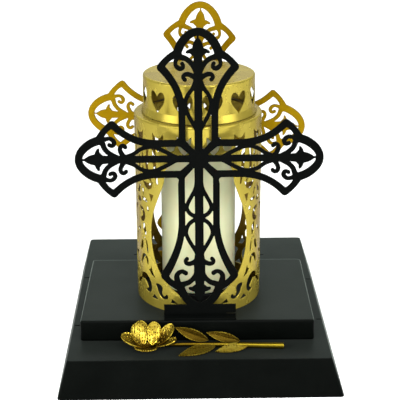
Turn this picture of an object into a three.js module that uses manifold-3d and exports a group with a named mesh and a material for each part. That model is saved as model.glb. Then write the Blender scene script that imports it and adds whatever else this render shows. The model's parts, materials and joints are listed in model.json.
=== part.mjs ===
// Grave light with crosses. A two-step base of folded black sheet carries a pierced gold lantern
// with a candle inside, a black cross in front of it, a gold cross behind it and a gold rose that
// lies on the front of the lower step.
import * as THREE from 'three';
import { ConvexGeometry } from 'three/addons/geometries/ConvexGeometry.js';
import { mergeVertices } from 'three/addons/utils/BufferGeometryUtils.js';
import loadManifold from 'manifold-3d';

const wasm = await loadManifold();
wasm.setup();

// Driving sizes in millimetres. +X is to the viewer's right, +Y to the back and +Z up. The origin is
// on the ground under the middle of the base.
const SHEET = 1.5; // black base sheet and both crosses
const GAP = 0.3; // clearance between pieces that only rest together
const TRAY = { width: 200, depth: 236.4, topWidth: 184.4, topDepth: 225.1, height: 27.4, corner: 2.5 };
const TRAY_FLANGE = 14; // edge of the tray folded in underneath
const STEP = { width: 166.8, depth: 112, height: 15.7, y: -26.8, corner: 1.5 };
const LANTERN = { y: -27.8, radius: 45.7, height: 139.8, wall: 1.2, mouth: 36, sides: 28 };
const CAP = { radius: 39.8, height: 27.4, wall: 1.2, sides: 24, turnDegrees: -2.3 };
const HEART = { count: 12, width: 13.5, height: 14.5, tipAboveFoot: 6 };
const CANDLE = { radius: 27.1, height: 105, dish: 2.5, rim: 3, sides: 28 };
const SEAT = { radius: 26.4, height: 7, sides: 28 };

// Slots in the tray's top: middle of each slot, all running along X
const SLOT = { length: 5, width: 1.2 };
const SLOT_PLACES = [[-89.5, 29.4], [-89.2, -60], [89.8, 22.2], [89.6, -50.8], [-51, 76.4], [54.2, 73.6]];

// Cross of cut sheet: sizes along an arm are measured from the cross's centre, sizes across from its axis
const CROSS = {
  centre: 118.9, // above the step
  frame: 13.4, // outer edge of the frame strips near the centre
  strip: 4.4, // width of a frame strip
  spine: 4.6, // width of the bar along each arm
  hub: 7.1, // radius of the eight-sided middle
  flareWidth: 27.2, // half width at the flared corners
  lens: 2.2, // width of the thin arcs
  scroll: 2.7, // width of the scrolls
};
const ARMS = [
  { turn: 0, flare: 58.2, flareStart: 27, flareBend: 46, hook: 51, lenses: 'single' },
  { turn: -90, flare: 86.2, flareStart: 45, flareBend: 65.5, hook: 75.2, lenses: 'double' },
  { turn: -180, flare: 58.2, flareStart: 27, flareBend: 46, hook: 51, lenses: 'single' },
  { turn: -270, flare: 63.9, flareStart: 32, flareBend: 51.5, hook: 56.5, lenses: 'single' },
];
const FOOT = { halfWidth: 25.6, height: 9.8, flange: 5.2, slitLength: 7, slitHeight: 0.9, slitLevel: 3 };
const FRONT_CROSS = { x: 1, y: -76.8 };
const BACK_CROSS = { x: -6.6, y: 21.1, yawDegrees: -5.7, leanDegrees: 2.5, flange: 4.5 };

// Rose: its petals are turned round the flower's middle, from +X towards the back, and rise from level
const ROSE = { x: -36, y: -94.9, z: 30.8, heart: 3, petalWidth: 14.5, petalSides: 10, cup: 15, sheet: 0.9 };
const PETALS = [
  { around: 177, rise: 16, length: 20 },
  { around: 125, rise: 58, length: 17.5 },
  { around: 70, rise: 62, length: 17 },
  { around: 33, rise: 42, length: 19.5 },
  { around: -35, rise: 10, length: 21.5 },
  { around: -105, rise: 17, length: 18 },
];
const STEM = { from: [-25, -91.4, 29.5], to: [60.5, -95.2, 29.1], thin: 0.9, thick: 1.6 };
const LEAF = { halfWidth: 4.2, sheet: 0.8, fold: 22 };
const LEAVES = [
  { base: [6.2, -90.4, 30.6], tip: [-15.4, -86.6, 38.6], roll: 38 },
  { base: [29, -91, 30.2], tip: [5.2, -86.8, 35.8], roll: 30 },
  { base: [10.6, -95.6, 29.4], tip: [-14.6, -106.6, 28.3], roll: 0 },
  { base: [34.8, -96.8, 29.4], tip: [11.3, -101.6, 28.3], roll: 0 },
];

const STEP_TOP = TRAY.height + STEP.height;
const SHOULDER = STEP_TOP + LANTERN.height;
const radians = THREE.MathUtils.degToRad;

// Finishes
const blackPaint = { color: 0x16191a, roughness: 0.55, metalness: 0.1 };
const baseBlack = { color: 0x1d2220, roughness: 0.42, metalness: 0.15 };
const gold = { color: 0xc9a83c, roughness: 0.3, metalness: 1 };
const crossGold = { color: 0xb08a1c, roughness: 0.45, metalness: 0.8 };
const ivory = { color: 0xd8d4ae, roughness: 0.6, metalness: 0 };
const seatBlack = { color: 0x101010, roughness: 0.6, metalness: 0 };

const light = new THREE.Group();

function addPiece(name, geometry, finish) {
  const mesh = new THREE.Mesh(geometry, new THREE.MeshStandardMaterial(finish));
  mesh.name = name;
  light.add(mesh);
}

// Solids: a closed geometry becomes a solid that can be joined and cut, and turns back into a geometry
function toSolid(geometry) {
  const bare = geometry.clone();
  bare.deleteAttribute('normal');
  bare.deleteAttribute('uv');
  const merged = mergeVertices(bare, 1e-4);
  const vertProperties = new Float32Array(merged.attributes.position.array);
  const triVerts = new Uint32Array(merged.index.array);
  return new wasm.Manifold(new wasm.Mesh({ numProp: 3, vertProperties, triVerts }));
}

function toGeometry(solid) {
  const mesh = solid.getMesh();
  const geometry = new THREE.BufferGeometry();
  geometry.setAttribute('position', new THREE.BufferAttribute(mesh.vertProperties, 3));
  geometry.setIndex(new THREE.BufferAttribute(mesh.triVerts, 1));
  geometry.computeVertexNormals();
  return geometry;
}

const joinAll = (solids) => solids.reduce((sum, solid) => sum.add(solid));
const cutAll = (solid, tools) => tools.reduce((rest, tool) => rest.subtract(tool), solid);

function block(x0, x1, y0, y1, z0, z1) {
  const geometry = new THREE.BoxGeometry(x1 - x0, y1 - y0, z1 - z0);
  return geometry.translate((x0 + x1) / 2, (y0 + y1) / 2, (z0 + z1) / 2);
}

// Outline drawn in X and height, made into an upright plate whose middle is at y = 0
function uprightPlate(shape, thickness) {
  const geometry = new THREE.ExtrudeGeometry(shape, { depth: thickness, bevelEnabled: false });
  return geometry.rotateX(Math.PI / 2).translate(0, thickness / 2, 0);
}

// Ring or rod turned about the vertical axis from a profile of radius and height
function turned(profile, sides) {
  const points = profile.map(([radius, height]) => new THREE.Vector2(radius, height));
  return new THREE.LatheGeometry(points, sides).rotateX(Math.PI / 2);
}

// Edge that runs beside a line of points, at the given distance to its left
function edgeLine(points, distanceAt) {
  return points.map((point, i) => {
    const before = points[Math.max(i - 1, 0)];
    const after = points[Math.min(i + 1, points.length - 1)];
    const into = new THREE.Vector2().subVectors(point, before).normalize();
    const out = new THREE.Vector2().subVectors(after, point).normalize();
    const along = into.clone().add(out).normalize();
    const miter = i === 0 || i === points.length - 1 ? 1 : Math.max(along.dot(out), 0.5);
    const distance = distanceAt(i / (points.length - 1)) / miter;
    return new THREE.Vector2(-along.y, along.x).multiplyScalar(distance).add(point);
  });
}

// Band along a line of points, with its width given as a function of the way along
function band(points, widthAt) {
  const left = edgeLine(points, (t) => widthAt(t) / 2);
  const right = edgeLine(points, (t) => -widthAt(t) / 2);
  return [...left, ...right.reverse()];
}

const evenBand = (points, width) => band(points, () => width);
const smoothLine = (points, steps) =>
  new THREE.SplineCurve(points.map(([x, y]) => new THREE.Vector2(x, y))).getPoints(steps);

function arcLine(x, y, startRadius, endRadius, startDegrees, sweepDegrees, steps) {
  return Array.from({ length: steps + 1 }, (_, i) => {
    const angle = radians(startDegrees + (sweepDegrees * i) / steps);
    const radius = startRadius + ((endRadius - startRadius) * i) / steps;
    return new THREE.Vector2(x + radius * Math.cos(angle), y + radius * Math.sin(angle));
  });
}

// Folded box with sloping sides and rounded upright corners
function slopedBox(bottom, top, corner, z0, z1) {
  const ring = ({ halfX, halfY }, z) => [[1, 1, 0], [-1, 1, 90], [-1, -1, 180], [1, -1, 270]].flatMap(
    ([sx, sy, start]) => [0, 45, 90].map((step) => new THREE.Vector3(
      sx * (halfX - corner) + corner * Math.cos(radians(start + step)),
      sy * (halfY - corner) + corner * Math.sin(radians(start + step)),
      z,
    )),
  );
  return new ConvexGeometry([...ring(bottom, z0), ...ring(top, z1)]);
}

function makeTray() {
  const bottom = { halfX: TRAY.width / 2, halfY: TRAY.depth / 2 };
  const top = { halfX: TRAY.topWidth / 2, halfY: TRAY.topDepth / 2 };
  const shrink = ({ halfX, halfY }, by) => ({ halfX: halfX - by, halfY: halfY - by });
  const shell = toSolid(slopedBox(bottom, top, TRAY.corner, 0, TRAY.height));
  const inside = slopedBox(shrink(bottom, SHEET), shrink(top, SHEET), 1, SHEET, TRAY.height - SHEET);
  const mouth = shrink(bottom, TRAY_FLANGE);
  const opening = block(-mouth.halfX, mouth.halfX, -mouth.halfY, mouth.halfY, -SHEET, 2 * SHEET);
  const slots = SLOT_PLACES.map(([x, y]) => block(
    x - SLOT.length / 2, x + SLOT.length / 2, y - SLOT.width / 2, y + SLOT.width / 2,
    TRAY.height - 3 * SHEET, TRAY.height + SHEET,
  ));
  addPiece('base_tray', toGeometry(cutAll(shell, [inside, opening, ...slots].map(toSolid))), baseBlack);
}

function makeStep() {
  const outer = { halfX: STEP.width / 2, halfY: STEP.depth / 2 };
  const inner = { halfX: outer.halfX - SHEET, halfY: outer.halfY - SHEET };
  const shell = toSolid(slopedBox(outer, outer, STEP.corner, TRAY.height, STEP_TOP));
  const inside = toSolid(slopedBox(inner, inner, 0.5, TRAY.height - SHEET, STEP_TOP - SHEET));
  addPiece('upper_step', toGeometry(shell.subtract(inside)).translate(0, STEP.y, 0), baseBlack);
}

// Outline of one cross arm, drawn along +X from its left corner round the end to its right corner
function armLine({ flare, flareStart, flareBend }) {
  const { frame, flareWidth } = CROSS;
  const at = (along, across) => new THREE.Vector2(along, across);
  const flank = new THREE.QuadraticBezierCurve(
    at(flareStart, frame), at(flareBend, frame), at(flare, flareWidth),
  );
  const shoulder = new THREE.QuadraticBezierCurve(
    at(flare, flareWidth), at(flare + 7.5, 22.5), at(flare + 11.8, 16),
  );
  const dome = new THREE.CubicBezierCurve(
    at(flare + 11.8, 16), at(flare + 18.5, 14.3), at(flare + 26.1, 7.8), at(flare + 26.1, 0),
  );
  const half = [
    at(frame, frame),
    ...flank.getPoints(3),
    ...shoulder.getPoints(2).slice(1),
    ...dome.getPoints(3).slice(1),
  ];
  const otherHalf = half.slice(0, -1).map(({ x, y }) => at(x, -y)).reverse();
  return [...half, ...otherHalf];
}

// Thin arcs on one side of an arm's axis, as points [along, across]
function lensLines({ lenses, flare }) {
  if (lenses === 'double') {
    return [
      [[13, 1.2], [24, 4.4], [35, 8.5], [43, 1.8]],
      [[43, 1.8], [48, 7.4], [54.5, 9.3], [62, 6.6], [70.5, 1.2]],
    ];
  }
  const shift = flare - ARMS[0].flare;
  return [[[15, 0.8], [24, 5.2], [33.3, 8.4], [42, 5.8], [50, 1]].map(
    ([along, across]) => [along + shift, across],
  )];
}

// Strips inside an arm's frame: thin arcs, scrolls, stems and struts on both sides of a middle bar
function armStrips(arm) {
  const { flare, hook } = arm;
  const lenses = lensLines(arm).map((line) => evenBand(smoothLine(line, 4), CROSS.lens));
  const stemLine = [[flare - 4, 1.6], [flare + 4.6, 6.8], [flare + 9.4, 15]];
  const stem = evenBand(smoothLine(stemLine, 2), 2.9);
  const voluteLine = [
    new THREE.Vector2(flare + 9.4, 12.6),
    new THREE.Vector2(flare + 4.6, 14.5),
    ...arcLine(flare + 1.1, 12.2, 2.4, 2.1, 80, 225, 3),
  ];
  const hookLine = [
    new THREE.Vector2(hook + 2.4, 1.5),
    ...arcLine(hook, 7.4, 2.4, 2, -10, 205, 3),
  ];
  const scrolls = [voluteLine, hookLine].map((line) => evenBand(line, CROSS.scroll));
  const halves = [...lenses, stem, ...scrolls];
  const mirrored = halves.map((outline) => outline.map(({ x, y }) => new THREE.Vector2(x, -y)));
  const strut = band([new THREE.Vector2(3, 3), new THREE.Vector2(12.5, 12.5)], (t) => 4 + 2 * t);
  const spine = evenBand([new THREE.Vector2(0, 0), new THREE.Vector2(flare + 15, 0)], CROSS.spine);
  return [...halves, ...mirrored, strut, spine, spearhead(flare)];
}

// Spearhead with two side lobes in the domed end of an arm
function spearhead(flare) {
  const half = [[3, 2.3], [8, 3.8], [10, 8], [12.2, 4.8], [15, 3.4]];
  const side = (sign) => half.map(([along, across]) => new THREE.Vector2(flare + along, sign * across));
  return [...side(1), new THREE.Vector2(flare + 21.8, 0), ...side(-1).reverse()];
}

// Cut sheet of a cross: openings are what its strips leave free inside the frame
function crossPlate() {
  const middle = new THREE.Vector2();
  const turnedBy = (points, degrees) => points.map(
    (point) => point.clone().rotateAround(middle, radians(degrees)),
  );
  const solidOf = (outline, thickness) => toSolid(uprightPlate(new THREE.Shape(outline), thickness));
  const rim = ARMS.flatMap((arm) => turnedBy(armLine(arm).slice(1), arm.turn));
  const inside = ARMS.flatMap((arm) => turnedBy(edgeLine(armLine(arm), () => -CROSS.strip), arm.turn));
  const hub = arcLine(0, 0, CROSS.hub, CROSS.hub, 22.5, 315, 7);
  const strips = ARMS.flatMap((arm) => armStrips(arm).map((outline) => turnedBy(outline, arm.turn)));
  const fillings = [hub, ...strips].map((strip) => solidOf(strip, 3 * SHEET));
  const openings = cutAll(solidOf(inside, 2 * SHEET), fillings);
  const below = block(-FOOT.halfWidth, FOOT.halfWidth, -SHEET, SHEET, -200, -CROSS.centre + FOOT.height - 1);
  return cutAll(solidOf(rim, SHEET), [openings, toSolid(below)]).translate([0, 0, CROSS.centre]);
}

// Foot of a cross: an upright strip bent into a flange that lies on the step, on the given side
function crossFoot(side, flange) {
  const { halfWidth, height, slitLength, slitHeight, slitLevel } = FOOT;
  const strip = block(-halfWidth, halfWidth, -SHEET / 2, SHEET / 2, 0, height);
  const edge = (side * SHEET) / 2;
  const reach = edge + side * flange;
  const plate = block(
    -halfWidth, halfWidth, Math.min(-edge, reach), Math.max(-edge, reach), 0, SHEET,
  );
  const slit = block(halfWidth - slitLength, halfWidth + 1, -SHEET, SHEET, slitLevel, slitLevel + slitHeight);
  return toSolid(strip).subtract(toSolid(slit)).add(toSolid(plate));
}

function makeCrosses() {
  const plate = crossPlate();
  const front = plate.add(crossFoot(-1, FOOT.flange));
  addPiece('front_cross', toGeometry(front).translate(FRONT_CROSS.x, FRONT_CROSS.y, STEP_TOP), blackPaint);
  const leaning = plate.rotate([0, BACK_CROSS.leanDegrees, 0]);
  const back = toGeometry(leaning.add(crossFoot(1, BACK_CROSS.flange)));
  back.rotateZ(radians(BACK_CROSS.yawDegrees)).translate(BACK_CROSS.x, BACK_CROSS.y, STEP_TOP);
  addPiece('back_cross', back, crossGold);
}

// Pear-shaped window of the lantern, in X and height above the ground
function windowShape() {
  const shape = new THREE.Shape();
  shape.moveTo(0, 50.5);
  for (const side of [1, -1]) {
    const line = new THREE.Path();
    line.moveTo(0, 50.5);
    line.bezierCurveTo(side * 16, 52, side * 34.4, 72, side * 34.4, 100);
    line.bezierCurveTo(side * 34.4, 118, side * 24.4, 128, side * 24.2, 148);
    line.bezierCurveTo(side * 24, 156, side * 13, 161.5, 0, 161.5);
    const points = line.getPoints(4).slice(1);
    const ordered = side === 1 ? points : points.slice(0, -1).reverse();
    ordered.forEach((point) => shape.lineTo(point.x, point.y));
  }
  return shape;
}

// Piercings of one quarter of the lantern's wall, in distance round the wall from the window's middle
// and height above the ground. A leaf is pointed at both ends, and a comma is a curl that thins out.
function leafCut(from, to, width) {
  const points = smoothLine([from, to], 3);
  const sides = evenBand(points.slice(1, 3), width);
  return [points[0], sides[0], sides[1], points[3], sides[2], sides[3]];
}

function commaCut(x, y, radius, startDegrees, sweepDegrees, width) {
  const outer = arcLine(x, y, radius, radius * 0.8, startDegrees, sweepDegrees, 3);
  const inner = arcLine(x, y, radius - width, radius * 0.8, startDegrees, sweepDegrees, 2);
  return [...outer, ...inner.slice(0, -1).reverse()];
}

function quarterPiercings() {
  return [
    leafCut([34.6, 163], [32.4, 139], 3),
    leafCut([43.6, 163], [39, 141], 3.2),
    commaCut(42.6, 142, 8.4, 205, 130, 4),
    commaCut(51, 111.5, 6.6, 120, -270, 3.6),
    leafCut([46.5, 104], [44, 93], 3.4),
    commaCut(47.6, 77, 6.6, 190, -200, 3.6),
    commaCut(46.5, 58.5, 8.6, 60, 230, 4.8),
    leafCut([33.5, 62], [28, 54], 4.2),
  ];
}

// Piercings up the middle of each side of the lantern, and the notched row under its upper band
function sidePiercings() {
  return [
    leafCut([0, 155], [0, 132], 5),
    leafCut([0, 104], [0, 80], 5.4),
  ];
}

function tulipCut() {
  const half = [[2.8, 168.6], [3.2, 174.5]];
  const side = (sign) => half.map(([x, z]) => new THREE.Vector2(sign * x, z));
  return [new THREE.Vector2(0, 164), ...side(1), new THREE.Vector2(0, 171.6), ...side(-1).reverse()];
}

// Cutter for an outline drawn on the unrolled wall, turned round the axis to its place
function wallCutter(outline, radius, aroundDegrees) {
  const reach = 8;
  const cutter = uprightPlate(new THREE.Shape(outline), reach).translate(0, -radius, 0);
  return toSolid(cutter.rotateZ(radians(aroundDegrees)));
}

function quarterCutters() {
  return quarterPiercings().flatMap((outline) => {
    const middle = outline.reduce((sum, point) => sum + point.x, 0) / outline.length;
    const around = THREE.MathUtils.radToDeg(middle / LANTERN.radius);
    const right = outline.map(({ x, y }) => new THREE.Vector2(x - middle, y));
    const left = right.map(({ x, y }) => new THREE.Vector2(-x, y));
    return [
      wallCutter(right, LANTERN.radius, around),
      wallCutter(left, LANTERN.radius, -around),
      wallCutter(left, LANTERN.radius, 180 - around),
      wallCutter(right, LANTERN.radius, 180 + around),
    ];
  });
}

function makeLanternBody() {
  const { radius, wall, mouth, sides } = LANTERN;
  const inner = radius - wall;
  const profile = [
    [inner, STEP_TOP], [radius, STEP_TOP], [radius, SHOULDER], [mouth, SHOULDER],
    [mouth, SHOULDER - wall], [inner, SHOULDER - wall], [inner, STEP_TOP],
  ];
  const window = toSolid(uprightPlate(windowShape(), 3 * radius));
  const tulips = Array.from({ length: 14 }, (_, i) => wallCutter(tulipCut(), radius, (360 / 14) * (i + 0.5)));
  const sidesCut = [90, -90].flatMap((around) => sidePiercings().map(
    (outline) => wallCutter(outline, radius, around),
  ));
  const body = cutAll(toSolid(turned(profile, sides)), [window, ...tulips, ...sidesCut, ...quarterCutters()]);
  addPiece('lantern_body', toGeometry(body).translate(0, LANTERN.y, 0), gold);
}

function heartShape() {
  const { width, height } = HEART;
  const shape = new THREE.Shape();
  shape.moveTo(0, 0);
  shape.bezierCurveTo(width * 0.2, height * 0.3, width * 0.5, height * 0.45, width * 0.5, height * 0.72);
  shape.bezierCurveTo(width * 0.5, height * 1.06, width * 0.08, height * 1.08, 0, height * 0.8);
  shape.bezierCurveTo(-width * 0.08, height * 1.08, -width * 0.5, height * 1.06, -width * 0.5, height * 0.72);
  shape.bezierCurveTo(-width * 0.5, height * 0.45, -width * 0.2, height * 0.3, 0, 0);
  return shape.getPoints(2).slice(1);
}

function makeCap() {
  const { radius, height, wall, sides, turnDegrees } = CAP;
  const foot = SHOULDER + GAP;
  const top = SHOULDER + height;
  const inner = radius - wall;
  const profile = [
    [inner, foot], [radius, foot], [radius, top], [0, top],
    [0, top - wall], [inner, top - wall], [inner, foot],
  ];
  const heart = heartShape().map(({ x, y }) => new THREE.Vector2(x, y + SHOULDER + HEART.tipAboveFoot));
  const step = 360 / HEART.count;
  const hearts = Array.from(
    { length: HEART.count }, (_, i) => wallCutter(heart, radius, turnDegrees + step * (i + 0.5)),
  );
  const cap = cutAll(toSolid(turned(profile, sides)), hearts);
  addPiece('lantern_cap', toGeometry(cap).translate(0, LANTERN.y, 0), gold);
}

function makeCandle() {
  const seat = new THREE.CylinderGeometry(SEAT.radius, SEAT.radius, SEAT.height, SEAT.sides);
  seat.rotateX(Math.PI / 2).translate(0, LANTERN.y, STEP_TOP + SEAT.height / 2);
  addPiece('candle_seat', seat, seatBlack);
  const { radius, height, dish, rim, sides } = CANDLE;
  const foot = STEP_TOP + SEAT.height + GAP;
  const top = foot + height;
  const profile = [
    [0, foot], [radius, foot], [radius, top - 1], [radius - 1, top], [radius - rim, top],
    [radius - 2 * rim, top - dish], [0, top - dish],
  ];
  addPiece('candle', turned(profile, sides).translate(0, LANTERN.y, 0), ivory);
}

// Petal: an oval disc dished upwards, lying along +X from the flower's middle
function petal(length) {
  const { petalWidth, cup, sheet, petalSides } = ROSE;
  const disc = new THREE.CylinderGeometry(1, 1, sheet, petalSides).rotateX(Math.PI / 2);
  disc.scale(length / 2, petalWidth / 2, 1);
  const points = disc.attributes.position;
  const dish = (x, y) => (x ** 2 + y ** 2) / (2 * cup);
  for (let i = 0; i < points.count; i += 1) {
    points.setZ(i, points.getZ(i) + dish(points.getX(i), points.getY(i)));
  }
  return toSolid(disc.translate(length / 2, 0, -dish(length / 2, 0)));
}

function makeRose() {
  const heart = toSolid(new THREE.SphereGeometry(ROSE.heart, 8, 6));
  const petals = PETALS.map(
    ({ around, rise, length }) => petal(length).rotate([0, -rise, 0]).rotate([0, 0, around]),
  );
  addPiece('rose_flower', toGeometry(joinAll([heart, ...petals])).translate(ROSE.x, ROSE.y, ROSE.z), gold);
}

function makeStem() {
  const from = new THREE.Vector3(...STEM.from);
  const to = new THREE.Vector3(...STEM.to);
  const along = new THREE.Vector3().subVectors(to, from);
  const rod = new THREE.CylinderGeometry(STEM.thick, STEM.thin, along.length(), 10);
  const turn = new THREE.Quaternion().setFromUnitVectors(new THREE.Vector3(0, 1, 0), along.normalize());
  const middle = from.add(to).multiplyScalar(0.5);
  addPiece('rose_stem', rod.applyQuaternion(turn).translate(middle.x, middle.y, middle.z), gold);
}

// Leaf folded along its midrib, drawn along +X from its base
function leafSolid(length) {
  const half = (side) => {
    const shape = new THREE.Shape();
    shape.moveTo(0, 0);
    shape.bezierCurveTo(
      length * 0.3, side * LEAF.halfWidth * 1.35, length * 0.7, side * LEAF.halfWidth * 1.2, length, 0,
    );
    const outline = new THREE.Shape(shape.getPoints(5));
    const sheet = new THREE.ExtrudeGeometry(outline, { depth: LEAF.sheet, bevelEnabled: false });
    return toSolid(sheet.rotateX(side * radians(LEAF.fold)));
  };
  return half(1).add(half(-1));
}

function makeLeaves() {
  LEAVES.forEach(({ base, tip, roll }, i) => {
    const along = new THREE.Vector3(...tip).sub(new THREE.Vector3(...base));
    const leaf = toGeometry(leafSolid(along.length())).rotateX(radians(roll));
    const heading = Math.atan2(along.y, along.x);
    const climb = Math.atan2(along.z, Math.hypot(along.x, along.y));
    leaf.rotateY(-climb).rotateZ(heading).translate(...base);
    addPiece(`rose_leaf_${i + 1}`, leaf, gold);
  });
}

makeTray();
makeStep();
makeCrosses();
makeLanternBody();
makeCap();
makeCandle();
makeRose();
makeStem();
makeLeaves();

export default light;
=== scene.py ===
"""Grave light with crosses: the finished surfaces of every piece around the fixed frame.

Lengths below are in millimetres, +Z up, with the front of the light at -Y, and become metres in the meshes.
"""
import json
import math

import bmesh
import bpy
import numpy as np
from mathutils import Matrix, Vector
from mathutils.geometry import delaunay_2d_cdt

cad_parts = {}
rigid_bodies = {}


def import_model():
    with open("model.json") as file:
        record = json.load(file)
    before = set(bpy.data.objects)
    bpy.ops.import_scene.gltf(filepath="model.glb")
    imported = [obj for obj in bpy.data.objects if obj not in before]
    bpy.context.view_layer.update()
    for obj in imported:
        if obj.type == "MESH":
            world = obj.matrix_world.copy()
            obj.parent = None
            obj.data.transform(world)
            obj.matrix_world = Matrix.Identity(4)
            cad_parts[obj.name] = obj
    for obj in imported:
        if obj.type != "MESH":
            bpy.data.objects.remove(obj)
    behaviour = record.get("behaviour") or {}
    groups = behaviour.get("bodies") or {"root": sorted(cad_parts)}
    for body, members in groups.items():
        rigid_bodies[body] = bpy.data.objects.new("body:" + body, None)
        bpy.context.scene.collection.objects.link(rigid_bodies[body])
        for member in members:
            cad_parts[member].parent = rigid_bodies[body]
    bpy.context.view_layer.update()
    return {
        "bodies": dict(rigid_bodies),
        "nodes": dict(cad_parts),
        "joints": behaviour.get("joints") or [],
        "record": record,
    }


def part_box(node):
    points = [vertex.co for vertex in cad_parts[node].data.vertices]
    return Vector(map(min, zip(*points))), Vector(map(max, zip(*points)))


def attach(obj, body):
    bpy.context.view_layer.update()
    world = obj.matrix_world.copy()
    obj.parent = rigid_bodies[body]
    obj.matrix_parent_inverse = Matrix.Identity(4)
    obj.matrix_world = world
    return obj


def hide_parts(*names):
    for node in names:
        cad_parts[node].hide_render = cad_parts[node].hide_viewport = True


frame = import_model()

MM = 0.001


def box_mm(node):
    """Lowest and highest corner of a solid, in millimetres."""
    low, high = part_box(node)
    return np.array(low) / MM, np.array(high) / MM


# Sizes taken from the frame
TRAY_LOW, TRAY_HIGH = box_mm("base_tray")
STEP_LOW, STEP_HIGH = box_mm("upper_step")
LANTERN_LOW, LANTERN_HIGH = box_mm("lantern_body")
CAP_LOW, CAP_HIGH = box_mm("lantern_cap")
SEAT_LOW, SEAT_HIGH = box_mm("candle_seat")
CANDLE_LOW, CANDLE_HIGH = box_mm("candle")
TRAY_TOP, STEP_TOP, SHOULDER = TRAY_HIGH[2], STEP_HIGH[2], LANTERN_HIGH[2]
AXIS_Y = (LANTERN_LOW[1] + LANTERN_HIGH[1]) / 2
LANTERN_RADIUS = (LANTERN_HIGH[0] - LANTERN_LOW[0]) / 2
CAP_RADIUS = (CAP_HIGH[0] - CAP_LOW[0]) / 2

# Base of folded sheet
SHEET = 1.5
TRAY_TOP_HALF, TRAY_LEAN = (92.2, 112.55), -0.026
TRAY_FLANGE = 14
TRAY_FOLD, STEP_FOLD = 0.5, 1.3
SLOT_SIZE = (5, 1.2, 6)
SLOT_PLACES = ((-89.5, 29.4), (-89.5, -57), (89.8, 22.2), (89.6, -50.8), (-51, 76.4), (54.2, 73.6))
STEP_SHIFT, STEP_TURN = (-1.3, -0.6), -0.6

# Crosses of cut sheet
CROSS_CENTRE = 118.9
CROSS_FRAME, LOWER_FRAME = 13.4, 14.3
FLARE_WIDTH = 28.2
FOOT_HALF, FOOT_HEIGHT = 25.6, 9.8
SLIT_START, SLIT_END, SLIT_LEVEL, SLIT_HALF = 18.6, 30, 3, 0.45
FRONT_CROSS = {
    "x": 0.2, "y": -76.8, "yaw": 0, "lean": -0.2, "reach": (1.1, 5.7, 0.3, 28.6), "slim": 0, "flange": -5.2,
}
BACK_CROSS = {
    "x": -6.4, "y": 21.1, "yaw": -5.7, "lean": 2.7, "reach": (-0.8, 6.5, -0.8, 28.6), "slim": 0.2,
    "flange": 4.5,
}

# Lantern
LANTERN_WALL = 0.7
MOUTH_RADIUS = 36
# Levels between which the painted shade on the lantern's inner faces eases, and its strength there: lighter
# near the top, where light falls in
INSIDE_FADE, INSIDE_SHADE = (SHOULDER - 45, SHOULDER - 15), (1, 0.45)
HEART_COUNT, HEART_WIDTH, HEART_HEIGHT, HEART_TIP = 12, 14.3, 15.6, 5
CAP_EDGE, CAP_FOOT, CAP_FLARE = 1.4, 5.3, 1.3
CAP_TURN, CAP_OFFSET = -2.3, 0.9

# Rose
DIMPLE_SCALE, DIMPLE_SPREAD = 560, 0.35


# Flat sheets. A sheet is a field of distances to its edge on a fine grid, below zero in the metal.
FAR = 1e3
EDGE_STEP = 1e-6
SEAM_STEP = 1e-4
CUT_BEVEL = 0.16
CROSS_CELL, LANTERN_CELL = 0.33, 0.22


def spline(points, steps):
    """Smooth line through points, with the given number of steps between neighbours."""
    points = np.asarray(points, float)
    padded = np.vstack([2 * points[0] - points[1], points, 2 * points[-1] - points[-2]])
    t = np.linspace(0, 1, steps, endpoint=False)[:, None]
    pieces = []
    for p0, p1, p2, p3 in zip(padded, padded[1:], padded[2:], padded[3:]):
        bend = (2 * p0 - 5 * p1 + 4 * p2 - p3) * t ** 2 + (3 * p1 - p0 - 3 * p2 + p3) * t ** 3
        pieces.append(p1 + 0.5 * ((p2 - p0) * t + bend))
    return np.vstack([*pieces, points[-1:]])


def bezier(points, steps):
    """Bezier curve with the given control points."""
    t = np.linspace(0, 1, steps + 1)[:, None]
    level = [np.asarray(p, float) + 0 * t for p in points]
    while len(level) > 1:
        level = [a * (1 - t) + b * t for a, b in zip(level, level[1:])]
    return level[0]


def passes(a, b, x, y):
    """Whether the line from a to b lies level with each point and to its right."""
    if a[1] == b[1]:
        return np.zeros(np.shape(x), bool)
    crossing = a[0] + (y - a[1]) * (b[0] - a[0]) / (b[1] - a[1])
    return ((a[1] > y) != (b[1] > y)) & (x < crossing)


class Stroke:
    """Strip along a line of points, with its half width at each of them."""

    def __init__(self, points, half, steps=6):
        given = np.column_stack([np.asarray(points, float), np.broadcast_to(half, len(points))])
        fine = spline(given, steps) if len(given) > 2 else given
        self.points, self.half = fine[:, :2], fine[:, 2]

    def distance(self, x, y):
        best = np.full(x.shape, FAR)
        for a, b, near, far in zip(self.points, self.points[1:], self.half, self.half[1:]):
            run = b - a
            t = np.clip(((x - a[0]) * run[0] + (y - a[1]) * run[1]) / (run @ run), 0, 1)
            gap = np.hypot(x - a[0] - t * run[0], y - a[1] - t * run[1])
            best = np.minimum(best, gap - near - t * (far - near))
        return best


class Area:
    """Filled outline."""

    def __init__(self, points):
        self.points = np.asarray(points, float)
        self.half = np.zeros(len(self.points))

    def distance(self, x, y):
        nearest = np.full(x.shape, FAR ** 2)
        inside = np.zeros(x.shape, bool)
        for a, b in zip(self.points, np.roll(self.points, -1, axis=0)):
            run = b - a
            t = np.clip(((x - a[0]) * run[0] + (y - a[1]) * run[1]) / max(run @ run, 1e-12), 0, 1)
            nearest = np.minimum(nearest, (x - a[0] - t * run[0]) ** 2 + (y - a[1] - t * run[1]) ** 2)
            inside ^= passes(a, b, x, y)
        return np.where(inside, -1, 1) * np.sqrt(nearest)


def soft_min(a, b, fillet):
    """Smaller of two fields, rounded where they meet."""
    share = np.clip(0.5 + 0.5 * (b - a) / fillet, 0, 1)
    return b + share * (a - b) - fillet * share * (1 - share)


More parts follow.
